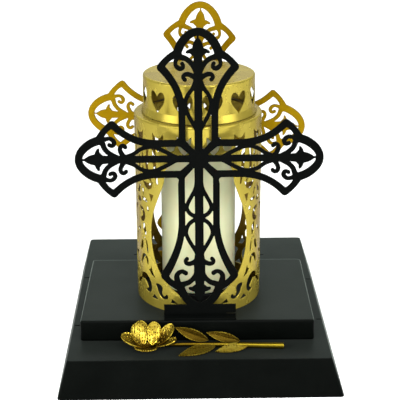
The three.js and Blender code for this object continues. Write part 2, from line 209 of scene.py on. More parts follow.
class Sheet:
    """Flat sheet between two corners, cut and joined from shapes."""

    def __init__(self, low, high, cell, filled):
        self.x, self.y = (self._axis(low[k], high[k], cell) for k in (0, 1))
        self.field = np.full((len(self.y), len(self.x)), -FAR if filled else FAR)

    @staticmethod
    def _axis(low, high, cell):
        inner = np.linspace(low, high, math.ceil((high - low) / cell) + 1)
        return np.concatenate([[low - EDGE_STEP], inner, [high + EDGE_STEP]])

    def _window(self, shape):
        """Part of the grid around a shape, and the distances to the shape there."""
        margin = shape.half.max() + 3
        spans = []
        for axis, k in ((self.y, 1), (self.x, 0)):
            first, last = shape.points[:, k].min() - margin, shape.points[:, k].max() + margin
            spans.append(slice(*np.searchsorted(axis, (first, last))))
        x, y = np.meshgrid(self.x[spans[1]], self.y[spans[0]])
        return tuple(spans), shape.distance(x, y)

    def join(self, shape, fillet=0.7):
        """Add a shape to the metal."""
        window, distance = self._window(shape)
        self.field[window] = soft_min(self.field[window], distance, fillet)

    def cut(self, shape, fillet=0.5):
        """Take a shape out of the metal."""
        window, distance = self._window(shape)
        self.field[window] = -soft_min(-self.field[window], distance, fillet)

    def outlines(self, tolerance=0.02):
        """Closed lines round the metal, with the metal on their left."""
        field = self.field.copy()
        field[[0, -1], :] = 1
        field[:, [0, -1]] = 1
        return [simplified(loop, tolerance) for loop in closed_lines(field, self.x, self.y)]

    def spots(self, pitch, margin):
        """Points inside the metal, about a pitch apart and a margin away from its edges."""
        step = max(1, round(pitch / (self.x[2] - self.x[1])))
        rows, columns = np.nonzero(self.field[step // 2::step, step // 2::step] < -margin)
        points = np.column_stack([self.x[step // 2::step][columns], self.y[step // 2::step][rows]])
        low, high = (self.x[0], self.y[0]), (self.x[-1], self.y[-1])
        return points[((points > np.add(low, margin)) & (points < np.subtract(high, margin))).all(axis=1)]


def closed_lines(field, xs, ys):
    """Lines along which the field is zero."""
    inside = field < 0
    mixed = inside[:-1, :-1].astype(int) + inside[1:, :-1] + inside[:-1, 1:] + inside[1:, 1:]
    follow, place = {}, {}
    for i, j in zip(*np.nonzero((mixed > 0) & (mixed < 4))):
        corners = [(i, j), (i, j + 1), (i + 1, j + 1), (i + 1, j)]
        leaving, entering = [], []
        for a, b in zip(corners, corners[1:] + corners[:1]):
            if inside[a] == inside[b]:
                continue
            key = min(a, b) + max(a, b)
            share = field[a] / (field[a] - field[b])
            place[key] = (
                xs[a[1]] + share * (xs[b[1]] - xs[a[1]]),
                ys[a[0]] + share * (ys[b[0]] - ys[a[0]]),
            )
            (leaving if inside[a] else entering).append(key)
        if inside[corners[0]] and len(leaving) == 2:
            entering.reverse()
        follow.update(zip(leaving, entering))
    loops = []
    while follow:
        start, key = follow.popitem()
        loop = [place[start]]
        while key != start:
            loop.append(place[key])
            key = follow.pop(key)
        loops.append(np.array(loop))
    return loops


def simplified(loop, tolerance):
    """Closed line with only the points that its shape needs."""
    far = int(np.argmax(np.hypot(*(loop - loop[0]).T)))
    closed = np.vstack([loop, loop[:1]])
    keep, stretches = {0, far}, [(0, far), (far, len(loop))]
    while stretches:
        first, last = stretches.pop()
        if last - first < 2:
            continue
        run = closed[last] - closed[first]
        middle = closed[first + 1:last] - closed[first]
        t = np.clip(middle @ run / max(run @ run, 1e-12), 0, 1)
        gap = np.hypot(*(middle - t[:, None] * run).T)
        if gap.max() > tolerance:
            split = first + 1 + int(gap.argmax())
            keep.add(split)
            stretches += [(first, split), (split, last)]
    return loop[sorted(keep)]


def inward(loop, seams):
    """Direction from each point of a line into the metal. Points on a seam stay on it."""
    run = np.roll(loop, -1, axis=0) - loop
    run /= np.hypot(*run.T)[:, None]
    left = np.column_stack([-run[:, 1], run[:, 0]])
    both = left + np.roll(left, 1, axis=0)
    both /= np.maximum(1 + (left * np.roll(left, 1, axis=0)).sum(axis=1), 0.4)[:, None]
    on_seam = seam_points(loop, seams)
    inner = on_seam & np.roll(on_seam, 1) & np.roll(on_seam, -1)
    both[on_seam, 0] = 0
    both[on_seam, 1] = np.sign(both[on_seam, 1])
    both[inner] = 0
    return both


def seam_points(loop, seams):
    """Which points of a line lie on a seam."""
    on_seam = np.zeros(len(loop), bool)
    for seam in seams:
        on_seam |= np.abs(loop[:, 0] - seam) < SEAM_STEP
    return on_seam


def sheet_body(loops, spots, thickness, bevel, place, seams=()):
    """Points and faces of a closed sheet: place(flat points, depth) puts them into space."""
    flat = np.concatenate(loops)
    into = np.concatenate([inward(loop, seams) for loop in loops])
    levels = ((0, bevel), (bevel, 0), (thickness - bevel, 0), (thickness, bevel))
    points = [place(flat + reach * into, depth) for depth, reach in levels]
    count, faces, edges, start = len(flat), [], [], 0
    for loop in loops:
        on_seam = seam_points(loop, seams)
        for i in range(len(loop)):
            j = (i + 1) % len(loop)
            edges.append((start + i, start + j))
            if on_seam[i] and on_seam[j] and abs(loop[i][0] - loop[j][0]) < SEAM_STEP:
                continue
            for ring in (0, count, 2 * count):
                a, b = ring + start + i, ring + start + j
                faces.append((a, a + count, b + count, b))
        start += len(loop)
    cover = np.vstack([flat, spots]) if len(spots) else flat
    made = delaunay_2d_cdt([Vector(p) for p in cover], edges, [], 1, 1e-7)
    origin = np.array([sources[0] for sources in made[3]])
    triangles = origin[np.array(made[2])]
    middles = cover[triangles].mean(axis=1)
    in_metal = np.zeros(len(middles), bool)
    for a, b in edges:
        in_metal ^= passes(flat[a], flat[b], *middles.T)
    front = np.arange(len(cover))
    back = front + 3 * count
    front[count:] += 3 * count
    back[count:] = front[count:] + len(spots)
    if len(spots):
        points += [place(spots, 0), place(spots, thickness)]
    for a, b, c in triangles[in_metal]:
        faces.append((front[a], front[b], front[c]))
        faces.append((back[c], back[b], back[a]))
    return np.vstack(points), faces


def divided(loop, longest):
    """Closed line whose steps are no longer than the given length."""
    parts = []
    for a, b in zip(loop, np.roll(loop, -1, axis=0)):
        steps = max(1, math.ceil(np.hypot(*(b - a)) / longest))
        parts.append(a + np.linspace(0, 1, steps, endpoint=False)[:, None] * (b - a))
    return np.vstack(parts)


# Meshes
QUARTER_TURN = np.radians((0, 22.5, 45, 67.5, 90))


def new_object(name, bodies):
    """Object from bodies, each a pair of points in millimetres and faces."""
    points, faces, start = [], [], 0
    for body_points, body_faces in bodies:
        points.append(np.asarray(body_points, float) * MM)
        faces += [[int(start + corner) for corner in face] for face in body_faces]
        start += len(body_points)
    mesh = bpy.data.meshes.new(name)
    mesh.from_pydata(np.vstack(points).tolist(), [], faces)
    made = bpy.data.objects.new(name, mesh)
    bpy.context.scene.collection.objects.link(made)
    return made


def smooth(piece, angle):
    """Smooth shading, with edges sharper than an angle in degrees kept sharp."""
    piece.data.shade_smooth()
    piece.data.set_sharp_from_angle(angle=math.radians(angle))


def mark(piece, label, values, domain="POINT"):
    """Store a value for each point, or each face, of a piece."""
    piece.data.attributes.new(label, "FLOAT", domain).data.foreach_set("value", values)


def weld(piece, distance):
    """Join points that lie together."""
    shape = bmesh.new()
    shape.from_mesh(piece.data)
    bmesh.ops.remove_doubles(shape, verts=shape.verts, dist=distance * MM)
    shape.to_mesh(piece.data)
    shape.free()


def round_shading(piece):
    """Shade the faces that follow a wall round the lantern's axis as truly round, and mark the inner and
    downward ones with painted shade, lighter near the top where light falls in.
    """
    mesh = piece.data
    corners = np.empty(len(mesh.loops), np.int32)
    mesh.loops.foreach_get("vertex_index", corners)
    places = np.empty(3 * len(mesh.vertices), np.float32)
    mesh.vertices.foreach_get("co", places)
    facing = np.empty(3 * len(mesh.polygons), np.float32)
    mesh.polygons.foreach_get("normal", facing)
    sides = np.empty(len(mesh.polygons), np.int32)
    mesh.polygons.foreach_get("loop_total", sides)
    facing = np.repeat(facing.reshape(-1, 3), sides, axis=0)
    outward = places.reshape(-1, 3)[corners] - (0, AXIS_Y * MM, 0)
    outward[:, 2] = 0
    outward /= np.linalg.norm(outward, axis=1)[:, None]
    along = (facing * outward).sum(axis=1)[:, None]
    flat = np.hypot(facing[:, 0], facing[:, 1])[:, None]
    inner = np.empty(len(mesh.polygons), np.float32)
    firsts = np.cumsum(sides) - sides
    # Inner and downward faces get painted shade, as they lie out of the light
    inner[:] = (along[firsts, 0] < -0.5) | (facing[firsts, 2] < -0.5)
    levels = places.reshape(-1, 3)[corners[firsts], 2] / MM
    inner *= np.interp(levels, INSIDE_FADE, INSIDE_SHADE)
    mark(piece, "inner", inner, "FACE")
    turned_round = np.sign(along) * flat * outward
    turned_round[:, 2] = facing[:, 2]
    mesh.normals_split_custom_set(np.where(np.abs(along) > 0.9 * flat, turned_round, facing))


def lathe(profile, sides, closed):
    """Body turned round the lantern's axis from (radius, level) points that run anticlockwise."""
    profile = np.asarray(profile, float)
    angle = np.linspace(0, 2 * math.pi, sides, endpoint=False)[:, None]
    points = np.stack(
        [profile[:, 0] * np.sin(angle), AXIS_Y - profile[:, 0] * np.cos(angle), profile[:, 1] + 0 * angle],
        axis=2,
    )
    count = len(profile)
    faces = []
    for i in range(sides):
        a, b = i * count, (i + 1) % sides * count
        for k in range(count if closed else count - 1):
            n = (k + 1) % count
            faces.append((a + k, b + k, b + n, a + n))
    if not closed:
        faces.append([i * count for i in reversed(range(sides))])
        faces.append([i * count + count - 1 for i in range(sides)])
    return points.reshape(-1, 3), faces


def rounded_ring(half, corner, level, middle):
    """Rounded rectangle at a level, anticlockwise."""
    ring = []
    for sign_x, sign_y, start in ((1, -1, -90), (1, 1, 0), (-1, 1, 90), (-1, -1, 180)):
        for k in range(7):
            turn = math.radians(start + 15 * k)
            ring.append((
                middle[0] + sign_x * (half[0] - corner) + corner * math.cos(turn),
                middle[1] + sign_y * (half[1] - corner) + corner * math.sin(turn),
                level,
            ))
    return ring


def folded_shell(low_half, top_half, low, top, corner, fold, flange, middle):
    """Open-bottomed box of folded sheet with sloping sides and a flange turned in below."""
    low_half, top_half = np.array(low_half), np.array(top_half)

    def side(level):
        return low_half + (top_half - low_half) * (level - low) / (top - low)

    rings = [(low_half - flange, corner, low), (low_half - fold - 1, corner, low)]
    for turn in QUARTER_TURN:
        rings.append((low_half - fold * (1 - math.sin(turn)), corner, low + fold * (1 - math.cos(turn))))
    rings.append((side(low + fold + 1), corner, low + fold + 1))
    rings.append((side(top - fold - 1), corner, top - fold - 1))
    for turn in QUARTER_TURN:
        rings.append((top_half - fold * (1 - math.cos(turn)), corner, top - fold * (1 - math.sin(turn))))
    rings.append((top_half - fold - 1, corner, top))
    outside = len(rings) - 1
    inner = max(corner - SHEET, 0.5)
    rings.append((top_half - SHEET, inner, top - SHEET))
    rings.append((low_half - SHEET, inner, low + SHEET))
    rings.append((low_half - flange, corner, low + SHEET))
    points = [rounded_ring(half, radius, level, middle) for half, radius, level in rings]
    count, faces = len(points[0]), []
    for k in range(len(rings)):
        if k == outside:
            continue
        a, b = k * count, (k + 1) % len(rings) * count
        for i in range(count):
            j = (i + 1) % count
            faces.append((a + i, a + j, b + j, b + i))
    faces.append([outside * count + i for i in range(count)])
    faces.append([(outside + 1) * count + i for i in reversed(range(count))])
    return np.array(points).reshape(-1, 3), faces


# Node trees
class Nodes:
    """A node tree that the script fills."""

    def __init__(self, tree):
        self.tree = tree

    def node(self, kind, sockets=None, **settings):
        """New node with its settings. Sockets hold values, or other sockets to link from."""
        made = self.tree.nodes.new(kind)
        for key, value in settings.items():
            setattr(made, key, value)
        for key, value in (sockets or {}).items():
            if isinstance(value, bpy.types.NodeSocket):
                self.tree.links.new(value, made.inputs[key])
            else:
                made.inputs[key].default_value = value
        return made

    def out(self, kind, sockets=None, **settings):
        """First output of a new node."""
        return self.node(kind, sockets, **settings).outputs[0]

    def math(self, operation, a, b=0.0):
        return self.out("ShaderNodeMath", {0: a, 1: b}, operation=operation)


class Tree(Nodes):
    """A geometry node tree, its named inputs and its last step: one mesh with its material."""

    def __init__(self, name, inputs):
        super().__init__(bpy.data.node_groups.new(name, "GeometryNodeTree"))
        named = {"Geometry": "NodeSocketGeometry", **inputs, "Material": "NodeSocketMaterial"}
        for label, kind in named.items():
            self.tree.interface.new_socket(name=label, in_out="INPUT", socket_type=kind)
        self.tree.interface.new_socket(
            name="Geometry", in_out="OUTPUT", socket_type="NodeSocketGeometry")
        self.inputs = self.node("NodeGroupInput").outputs

    def welded(self, first, second, distance):
        """Two meshes made into one where their points lie together."""
        joined = self.node("GeometryNodeJoinGeometry")
        for mesh in (first, second):
            self.tree.links.new(mesh, joined.inputs[0])
        return self.out("GeometryNodeMergeByDistance", {"Geometry": joined.outputs[0], "Distance": distance})

    def cut(self, shapes):
        """The incoming mesh with shapes cut out of it."""
        return self.out(
            "GeometryNodeMeshBoolean", {"Mesh 1": self.inputs["Geometry"], "Mesh 2": shapes},
            operation="DIFFERENCE", solver="EXACT")

    def finish(self, geometry):
        """End the tree with one mesh and its material."""
        whole = self.out("GeometryNodeRealizeInstances", {"Geometry": geometry})
        coated = self.out("GeometryNodeSetMaterial", {"Geometry": whole, "Material": self.inputs["Material"]})
        self.node("NodeGroupOutput", {"Geometry": coated})

    def apply(self, piece, material, **values):
        """Run the tree on a piece and keep the result as its plain mesh."""
        values["Material"] = material
        modifier = piece.modifiers.new("shape", "NODES")
        modifier.node_group = self.tree
        for item in self.tree.interface.items_tree:
            if item.in_out == "INPUT" and item.name in values:
                modifier[item.identifier] = values[item.name]
        graph = bpy.context.evaluated_depsgraph_get()
        shaped = bpy.data.meshes.new_from_object(piece.evaluated_get(graph), depsgraph=graph)
        shaped.name = piece.name
        piece.modifiers.remove(modifier)
        piece.data = shaped


# Materials
class Shader(Nodes):
    """A material: a principled surface fed by a few nodes."""

    def __init__(self, name, slot, **constants):
        self.slot = slot
        self.material = bpy.data.materials.new(name)
        self.material.use_nodes = True
        super().__init__(self.material.node_tree)
        self.surface = self.tree.nodes["Principled BSDF"]
        for key, value in constants.items():
            self.surface.inputs[key.replace("_", " ")].default_value = value

    def effect(self, group, scale, low, high):
        """Value of a shared effect at a scale, stretched from between two limits."""
        return self.out("ShaderNodeGroup", {"Scale": scale, "Low": low, "High": high}, node_tree=group)

    def feed(self, name, socket):
        """Link a socket to an input of the surface."""
        self.tree.links.new(socket, self.surface.inputs[name])

    def colours(self, share, *tones):
        """Base colour between two tones, each a colour or a socket."""
        tones = [tone if isinstance(tone, bpy.types.NodeSocket) else (*tone, 1) for tone in tones]
        mixed = self.node("ShaderNodeMix", {0: share, 6: tones[0], 7: tones[1]}, data_type="RGBA").outputs[2]
        self.feed("Base Color", mixed)
        return mixed

    def range(self, name, share, low, high):
        """Value of a surface input between two limits."""
        self.feed(name, self.out("ShaderNodeMapRange", {0: share, 3: low, 4: high}))

    def bump(self, height, strength, distance):
        """Fine relief, with its distance in millimetres."""
        self.feed("Normal", self.out(
            "ShaderNodeBump", {"Strength": strength, "Distance": distance * MM, "Height": height}))


def effect(name, texture, outlet, **settings):
    """Shared node group: one texture in object coordinates at a scale, stretched to the range 0 to 1."""
    group = bpy.data.node_groups.new(name, "ShaderNodeTree")
    for label in ("Scale", "Low", "High"):
        group.interface.new_socket(name=label, in_out="INPUT", socket_type="NodeSocketFloat")
    group.interface.new_socket(name="Value", in_out="OUTPUT", socket_type="NodeSocketFloat")
    nodes = Nodes(group)
    inputs = nodes.node("NodeGroupInput").outputs
    place = nodes.node("ShaderNodeTexCoord").outputs["Object"]
    pattern = nodes.node(texture, {"Vector": place, "Scale": inputs["Scale"], **settings}).outputs[outlet]
    spread = nodes.out("ShaderNodeMapRange", {0: pattern, 1: inputs["Low"], 2: inputs["High"]})
    nodes.node("NodeGroupOutput", {"Value": spread})
    return group


CLOUDS = effect("clouds", "ShaderNodeTexNoise", "Fac", Detail=4.0, Roughness=0.55)
GRAIN = effect("grain", "ShaderNodeTexNoise", "Fac", Detail=2.0, Roughness=0.5)
DOTS = effect("dots", "ShaderNodeTexVoronoi", "Distance", Randomness=DIMPLE_SPREAD)


def metal(name, slot, dark, bright, roughness, metallic, shade_level, dimples=None):
    """Brass with soft clouds in tone and shine, dark in its dimples, and painted shade where it is marked as
    inner or by its tone attribute: darker and browner, with a tone below zero taking the painted shade away
    as a painted highlight.
    """
    shader = Shader(name, slot, Metallic=metallic, Specular_Tint=(0.2, 0.14, 0.06, 1))
    clouds = shader.effect(CLOUDS, 55, 0.3, 0.7)
    outer = shader.colours(clouds, dark, bright)
    if dimples:
        dots = shader.effect(DOTS, dimples, 0.2, 0.42)
        outer = shader.colours(dots, (0.3 * dark[0], 0.22 * dark[1], 0.1 * dark[2]), outer)
    # The inner and tone attributes hold painted shade: the colour turns towards a darker, browner copy of the
    # bright tone where light falls less
    inner = shader.node("ShaderNodeAttribute", attribute_name="inner").outputs["Fac"]
    tone = shader.node("ShaderNodeAttribute", attribute_name="tone").outputs["Fac"]
    painted_shade = shader.out("ShaderNodeMath", {0: inner, 1: tone}, operation="ADD", use_clamp=True)
    shader.colours(painted_shade, outer, (shade_level * bright[0], 0.76 * shade_level * bright[1], 0.47 * shade_level * bright[2]))
    shader.range("Roughness", clouds, roughness[0], roughness[1])
    grain = shader.effect(GRAIN, 420, 0.2, 0.8)
    shader.bump(grain, 0.12, 0.12)
    return shader


# Upward share of a surface's direction at which the pale dust and painted sheen begin, and at which they are
# full
DUST_AND_SHEEN_SLOPES = (0.3, 0.5)


def paint(name, slot, dark, bright, roughness, level, dust_and_sheen):
    """Black paint with a fine grain, and a pale sheen on what faces up: partly dust, partly painted sheen
    that lightens the tops.
    """
    shader = Shader(
        name, slot, Specular_IOR_Level=level, Sheen_Roughness=0.32, Sheen_Tint=(0.85, 1, 0.9, 1))
    normal = shader.node("ShaderNodeTexCoord").outputs["Normal"]
    upward = shader.node("ShaderNodeSeparateXYZ", {0: normal}).outputs["Z"]
    # Sheen only on what faces up: pale dust, and painted sheen that makes the tops lighter than the fronts
    dust_and_sheen_weight = shader.out("ShaderNodeMapRange", {0: upward, 1: DUST_AND_SHEEN_SLOPES[0], 2: DUST_AND_SHEEN_SLOPES[1], 4: dust_and_sheen})
    shader.feed("Sheen Weight", dust_and_sheen_weight)
    clouds = shader.effect(CLOUDS, 38, 0.3, 0.7)
    shader.colours(clouds, dark, bright)
    shader.range("Roughness", clouds, roughness[0], roughness[1])
    grain = shader.effect(GRAIN, 900, 0.2, 0.8)
    shader.bump(grain, 0.1, 0.1)
    return shader


BASE_BLACK = paint(
    "satin_black", "base_black", (0.0006, 0.0009, 0.0007), (0.0012, 0.0016, 0.0013), (0.42, 0.52),
    0.018, 0.32)
CROSS_BLACK = paint(
    "matt_black", "cross_black", (0.0006, 0.0008, 0.0007), (0.0012, 0.0015, 0.0013), (0.45, 0.55),
    0.015, 0.01)
SEAT_BLACK = paint(
    "dull_black", "seat_black", (0.003, 0.003, 0.003), (0.005, 0.005, 0.005), (0.5, 0.65), 0.1, 0.02)
LANTERN_GOLD = metal(
    "pale_brass", "lantern_gold", (0.285, 0.222, 0.03), (0.34, 0.272, 0.045), (0.22, 0.3), 0.6, 0.46)
CROSS_GOLD = metal(
    "mustard_brass", "cross_gold", (0.175, 0.1, 0.0012), (0.21, 0.13, 0.0024), (0.4, 0.5), 0.85, 0.38)
ROSE_GOLD = metal(
    "bright_brass", "rose_gold", (0.27, 0.19, 0.014), (0.41, 0.31, 0.04), (0.22, 0.32), 0.85, 0.17,
    DIMPLE_SCALE)
STEM_GOLD = metal(
    "olive_brass", "rose_gold", (0.07, 0.05, 0.003), (0.11, 0.083, 0.006), (0.26, 0.36), 0.85, 0.38)


def candle_ivory():
    """Pale wax, a little cloudy."""
    shader = Shader("ivory_wax", "candle_ivory", Specular_IOR_Level=0.3, Subsurface_Weight=0.25,
                    Subsurface_Scale=0.004)
    clouds = shader.effect(CLOUDS, 30, 0.32, 0.68)
    shader.colours(clouds, (0.49, 0.49, 0.285), (0.55, 0.56, 0.36))
    shader.range("Roughness", clouds, 0.38, 0.5)
    return shader


CANDLE_IVORY = candle_ivory()


def finish_piece(piece, shader, node):
    """Coat a piece and fix it to the frame in place of its solid."""
    piece.name = f"{node}_surface"
    piece.data.name = piece.name
    piece.data.materials.clear()
    piece.data.materials.append(shader.material)
    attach(piece, "root")
    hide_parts(node)


# Crosses
ARMS = (
    {"turn": 0, "spine": 2.35, "frame": CROSS_FRAME},
    {"turn": 90, "spine": 2.7, "frame": CROSS_FRAME},
    {"turn": 180, "spine": 2.35, "frame": CROSS_FRAME},
    {"turn": 270, "spine": 3, "frame": LOWER_FRAME},
)
LENS = (
    (15.5, 1.2), (20.3, 4), (24.5, 6.2), (28.6, 8), (32.8, 8.7), (37, 8), (40.2, 6.5), (43.8, 3.9), (48, 2.2),
    (51, 1.6),
)
LOWER_DROP = ((15, 0.8), (22, 2.6), (27, 5), (32, 7.6), (36, 8.4), (39.5, 6.6), (41.8, 3.4), (43.2, 0.5))
LOWER_LENS = ((43.2, 0.5), (45.3, 4.4), (48.5, 7.6), (54, 9.2), (59, 7.6), (63.5, 5.2), (68, 2.6), (72, 0.8))
HOOK = ((50.6, 1.8), (52.3, 4.8), (53, 7), (52.5, 9.1), (50.8, 9.9), (49.3, 8.8))
HOOK_HALVES = (1.8, 1.6, 1.55, 1.4, 1.3, 1.4)
STEM = ((54.8, 1.4), (58.5, 3.2), (61.2, 5.2), (63.3, 7.8), (64.3, 10.6), (65.4, 13.4))
STEM_HALVES = (1.6, 1.7, 1.65, 1.75, 1.9, 2.2)
LENS_HALF = 1.35
VOLUTE = (
    (64.4, 13.7), (62.2, 14.6), (59.8, 14.9), (57.9, 13.9), (56.8, 12), (57.3, 10.3), (58.6, 9.7),
    (60.1, 10.4),
)
VOLUTE_HALVES = (1.6, 1.4, 1.3, 1.5, 1.6, 1.45, 1.25, 1.35)
LOWER_VOLUTE = ((63, 15.6), (58.8, 16.2), (56, 15), (54.8, 12.3), (56.1, 9.8))
LOWER_VOLUTE_HALVES = (2.2, 1.9, 1.6, 1.4, 1.6)
SPEAR = (
    (79.6, 0.5), (77.2, 0.7), (75.4, 2.1), (73.4, 3.1), (71.6, 3.5), (70.4, 3.8), (69.8, 5.6), (68.6, 7.6),
    (67.3, 8.1), (66.9, 7), (67, 5.4), (65, 3), (60, 2.5), (60, 0),
)


def turned(points, degrees, pivot=(0, 0)):
    """Flat points turned anticlockwise about a pivot."""
    turn = math.radians(degrees)
    spin = np.array([[math.cos(turn), math.sin(turn)], [-math.sin(turn), math.cos(turn)]])
    return (np.asarray(points, float) - pivot) @ spin + pivot


def rim_edge(shift, frame):
    """Outer edge of half an arm, from the middle of the cross to the tip of its dome."""
    flare = (57.4 + shift, FLARE_WIDTH)
    notch = (68.8 + shift, 16.2)
    flank = bezier([(27 + 0.64 * shift, frame), (46 + 0.7 * shift, frame), flare], 24)[:-2]
    shoulder = bezier([flare, (64.8 + shift, 23), notch], 12)[2:]
    corner = bezier([flank[-1], flare, shoulder[0]], 6)
    dome = bezier([notch, (75.6 + shift, 14.4), (83.9 + shift, 8), (83.9 + shift, 0)], 20)
    return np.vstack([[(CROSS_FRAME, CROSS_FRAME), (18, frame)], flank, corner[1:], shoulder[1:], dome[1:]])


def inside_edge(shift, frame):
    """Inner edge of the frame of half an arm."""
    corner = (58.3 + shift, 21.6)
    inner = frame - 4.7
    flank = bezier([(30 + 0.6 * shift, inner), (45.5 + 0.73 * shift, inner + 0.5), corner], 24)
    shoulder = bezier([corner, (61.6 + shift, 19.8), (63.6 + shift, 15.6)], 10)
    dome = bezier([(65.4 + shift, 11), (71 + shift, 10.2), (78.7 + shift, 5), (78.7 + shift, 0)], 20)
    return np.vstack([[(13, inner)], flank, shoulder[1:], dome])


def ring_of_arms(edge, reach):
    """Closed outline made from the same edge on both sides of all four arms."""
    parts = []
    for arm, shift in zip(ARMS, reach):
        half = edge(shift, arm["frame"])
        parts.append(turned(np.vstack([half * (1, -1), half[-2::-1]]), arm["turn"]))
    return np.vstack(parts)


def arm_strips(arm, shift):
    """Scrollwork of one arm: lines and their half widths."""
    lower = arm["turn"] == 270
    strips = [([(0, 0), (70 + shift, 0)], arm["spine"])]
    arcs = (LOWER_DROP, LOWER_LENS) if lower else (np.add(LENS, (0.88 * shift, 0)),)
    hook = np.add(HOOK, (0.86 * shift if lower else shift, 0))
    volute, halves = (LOWER_VOLUTE, LOWER_VOLUTE_HALVES) if lower else (VOLUTE, VOLUTE_HALVES)
    if lower:
        strips.append(([(70, 0), (76, 0), (86, 0), (92, 0)], (3, 3.9, 3.9, 3)))
    for side in (1, -1):
        strips += [(np.multiply(arc, (1, side)), LENS_HALF) for arc in arcs]
        strips.append((hook * (1, side), HOOK_HALVES))
        strips.append((np.add(STEM, (shift, 0)) * (1, side), STEM_HALVES))
        strips.append((np.add(volute, (shift, 0)) * (1, side), halves))
    return strips


def cross_outlines(stand):
    """Outlines of the cut cross standing on its foot, leaning to the right by an angle in degrees."""
    base, lean, reach = (0, -CROSS_CENTRE), stand["lean"], stand["reach"]
    sheet = Sheet((-92, -CROSS_CENTRE), (92, 96), CROSS_CELL, False)
    sheet.join(Area(turned(ring_of_arms(rim_edge, reach), -lean, base)))
    sheet.cut(Area(turned(ring_of_arms(inside_edge, reach), -lean, base)))
    sheet.join(Stroke(turned([(-0.01, 0), (0.01, 0)], -lean, base), 6.9))
    for arm, shift in zip(ARMS, reach):
        strips = arm_strips(arm, shift) + [([(3.5, 3.5), (12.2, 12.2)], (2.1, 2.9))]
        for line, half in strips:
            sheet.join(Stroke(turned(turned(line, arm["turn"]), -lean, base), half))
        spear = np.add(SPEAR, (shift, 0))
        head = np.vstack([spear, spear[::-1] * (1, -1)])
        sheet.join(Area(turned(turned(head, arm["turn"]), -lean, base)), 0.4)
    sheet.field += stand["slim"]
    top = FOOT_HEIGHT - CROSS_CENTRE
    sheet.join(Area([(-FOOT_HALF, base[1]), (FOOT_HALF, base[1]), (FOOT_HALF, top), (-FOOT_HALF, top)]), 0.3)
    slit = SLIT_LEVEL - CROSS_CENTRE
    low, high = slit - SLIT_HALF, slit + SLIT_HALF
    sheet.cut(Area([(SLIT_START, low), (SLIT_END, low), (SLIT_END, high), (SLIT_START, high)]), 0.2)
    return sheet.outlines()


def cross_piece(name, stand, shader):
    """One cross: the cut sheet and the flange turned out at its foot, with painted shade on the cut edges and
    the flange.
    """
    turn = Matrix.Rotation(math.radians(stand["yaw"]), 3, "Z")

    def settle(points):
        return points @ np.array(turn).T + (stand["x"], stand["y"], STEP_TOP)

    def upright(flat, depth):
        return settle(np.column_stack(
            [flat[:, 0], np.full(len(flat), depth - SHEET / 2), flat[:, 1] + CROSS_CENTRE]))

    def lying(flat, depth):
        return settle(np.column_stack([flat, np.full(len(flat), SHEET - depth)]))

    face = math.copysign(SHEET / 2, stand["flange"])
    near, far = sorted((face, face + stand["flange"]))
    strip = np.array([(-FOOT_HALF, near), (FOOT_HALF, near), (FOOT_HALF, far), (-FOOT_HALF, far)])
    plate = sheet_body(cross_outlines(stand), [], SHEET, CUT_BEVEL, upright)
    piece = new_object(name, [plate, sheet_body([strip], [], SHEET, CUT_BEVEL, lying)])
    smooth(piece, 32)
    ahead = turn @ Vector((0, 1, 0))
    # Painted shade on every face that doesn't face front or back, as the cut edges lie in shadow
    painted_shade = [0.7 * (abs(side.normal.dot(ahead)) < 0.5) for side in piece.data.polygons]
    mark(piece, "inner", painted_shade, "FACE")
    finish_piece(piece, shader, name)


cross_piece("front_cross", FRONT_CROSS, CROSS_BLACK)
cross_piece("back_cross", BACK_CROSS, CROSS_GOLD)

